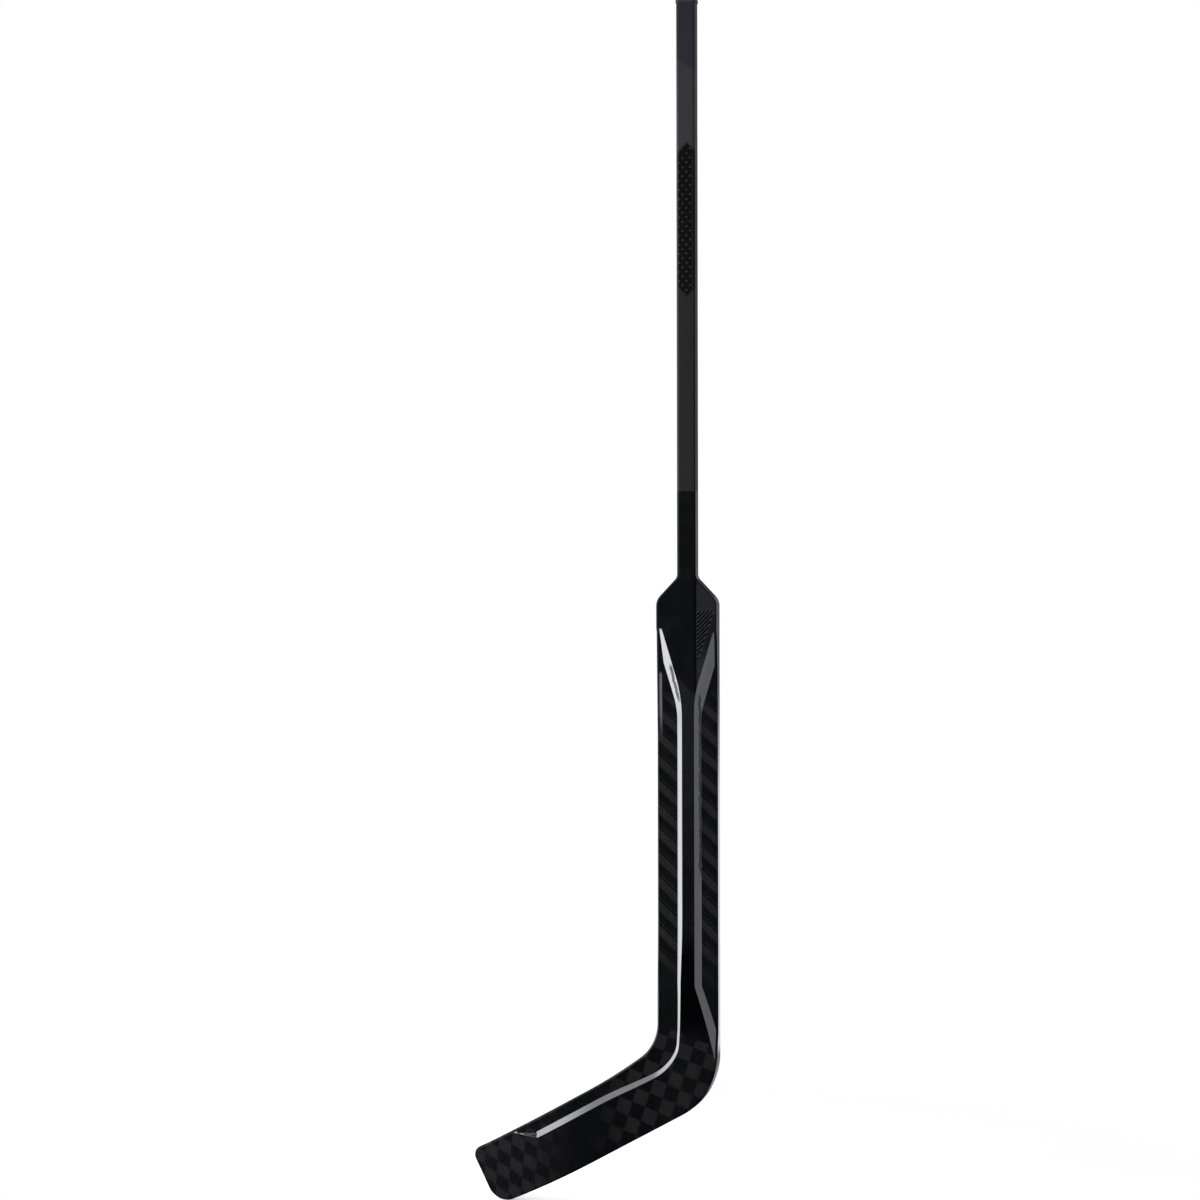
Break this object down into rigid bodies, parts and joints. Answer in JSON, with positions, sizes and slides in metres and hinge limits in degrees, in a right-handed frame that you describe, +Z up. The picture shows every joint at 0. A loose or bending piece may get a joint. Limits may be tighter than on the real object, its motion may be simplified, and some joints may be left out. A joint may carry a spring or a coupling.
{
  "type": "hockey goalie stick",
  "caption": "Composite hockey goalie stick: hollow shaft with butt cap, wide faceted paddle with a raised spine, and a curved, rockered blade with a pocket under its top edge.",
  "frame": {"origin": "on the shaft's axis at the neck, where the shaft begins to widen into the paddle", "axes": "+Z up the shaft towards the butt end, -Y out of the sculpted side, blade towards -X"},
  "size_m": [0.373, 0.0368, 1.7062],
  "materials": {
    "shaft_paint": "matte",
    "carbon_gloss": "clear-coated carbon laminate",
    "carbon_bare": "bare carbon laminate",
    "foam": "rigid closed-cell foam",
    "glass_laminate": "bare glass-fibre laminate",
    "cap_plastic": "satin"
  },
  "bodies": {
    "root": {"shaft_tube": "shaft_paint", "butt_cap": "cap_plastic", "shaft_stop": "foam", "spine_spar": "carbon_bare", "spine_foam": "foam", "paddle_core_inner": "foam", "paddle_core_outer": "foam", "paddle_spine_skin": "carbon_gloss", "paddle_flat_skin": "carbon_gloss", "heel_core": "foam", "blade_core_upper": "foam", "blade_core_lower": "foam", "blade_rib": "glass_laminate", "blade_pocket_skin": "carbon_gloss", "blade_flat_skin": "carbon_gloss"}
  },
  "joints": []
}
